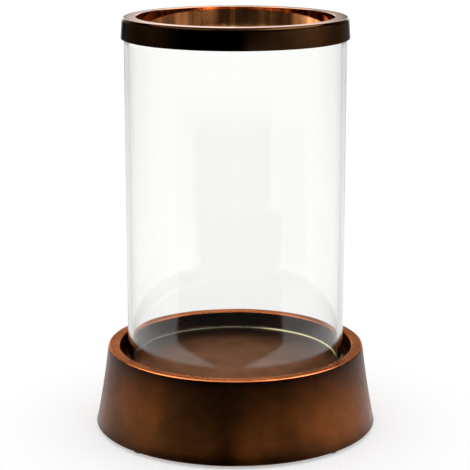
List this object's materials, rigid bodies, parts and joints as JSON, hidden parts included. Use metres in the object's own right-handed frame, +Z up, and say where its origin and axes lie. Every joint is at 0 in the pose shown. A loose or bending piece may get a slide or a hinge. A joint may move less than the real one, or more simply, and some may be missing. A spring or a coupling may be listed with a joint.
{
  "type": "hurricane candle holder",
  "caption": "Tabletop candle holder: an open glass cylinder with a metal top ring stands loose in the recess of a tapered, bronze-finished cast base on felt pads.",
  "frame": {"origin": "on the object's axis, at the table surface under the felt pads", "axes": "+Z up along the axis of the base, glass and ring; +X and +Y are level, and the felt pads stand midway between them"},
  "size_m": [0.195, 0.195, 0.285],
  "materials": {
    "cast_bronze_finish": "cast aluminium with a satin, slightly mottled dark copper-bronze finish",
    "ring_bronze_finish": "cast aluminium, smoother and glossier copper-bronze finish, near black where it reflects the dark",
    "clear_glass": "clear soda-lime glass, drawn tube with a faint ripple and greenish cut edges",
    "clear_silicone": "clear silicone bedding, satin",
    "dark_felt": "dense dark brown self-adhesive felt"
  },
  "bodies": {
    "base": {"base_body": "cast_bronze_finish", "felt_pad_1": "dark_felt", "felt_pad_2": "dark_felt", "felt_pad_3": "dark_felt", "felt_pad_4": "dark_felt"},
    "chimney": {"glass_cylinder": "clear_glass", "top_ring": "ring_bronze_finish", "silicone_bead": "clear_silicone"}
  },
  "joints": [
    {"name": "glass_lift", "type": "slide", "parent": "base", "child": "chimney", "axis": [0, 0, 1], "range_m": [0, 0.25]}
  ]
}
